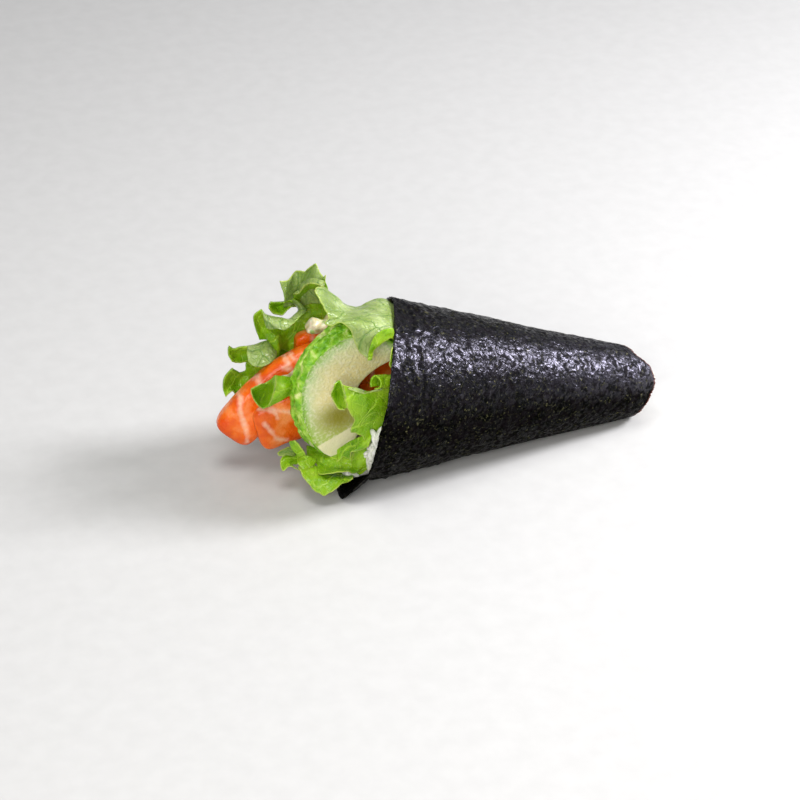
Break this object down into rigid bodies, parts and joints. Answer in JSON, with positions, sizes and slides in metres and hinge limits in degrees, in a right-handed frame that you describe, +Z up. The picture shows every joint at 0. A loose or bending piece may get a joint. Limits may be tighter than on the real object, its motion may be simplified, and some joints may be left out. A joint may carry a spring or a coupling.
{
  "type": "temaki hand roll",
  "caption": "Cone-shaped hand roll lying on its side: toasted seaweed round rice, with lettuce, avocado, raw salmon and cream cheese standing out of its mouth.",
  "frame": {"origin": "middle of the flat strip on which the nori rests", "axes": "+Z up, +X along the roll from the open mouth to the cut narrow end, -Y the side that shows the avocado's cut face"},
  "size_m": [0.2044, 0.0814, 0.0953],
  "materials": {
    "nori": "toasted seaweed sheet, black-green, wrinkled, with a fine sparkle",
    "rice": "cooked short-grain rice, white, moist",
    "avocado": "cut avocado flesh, cream-yellow in the middle and green at the skin side",
    "salmon": "raw salmon, orange with pale fat lines, wet",
    "cheese": "cream cheese, off-white, soft",
    "lettuce": "lettuce leaf, yellow-green, paler and veined underneath"
  },
  "bodies": {
    "root": {"nori": "nori", "rice": "rice", "avocado_front": "avocado", "avocado_back": "avocado", "salmon_long": "salmon", "salmon_low": "salmon", "salmon_core": "salmon", "salmon_back": "salmon", "cheese_high": "cheese", "cheese_low": "cheese", "leaf_top": "lettuce", "leaf_sliver": "lettuce", "leaf_curl": "lettuce", "leaf_small": "lettuce", "leaf_low": "lettuce", "leaf_back": "lettuce"}
  },
  "joints": []
}
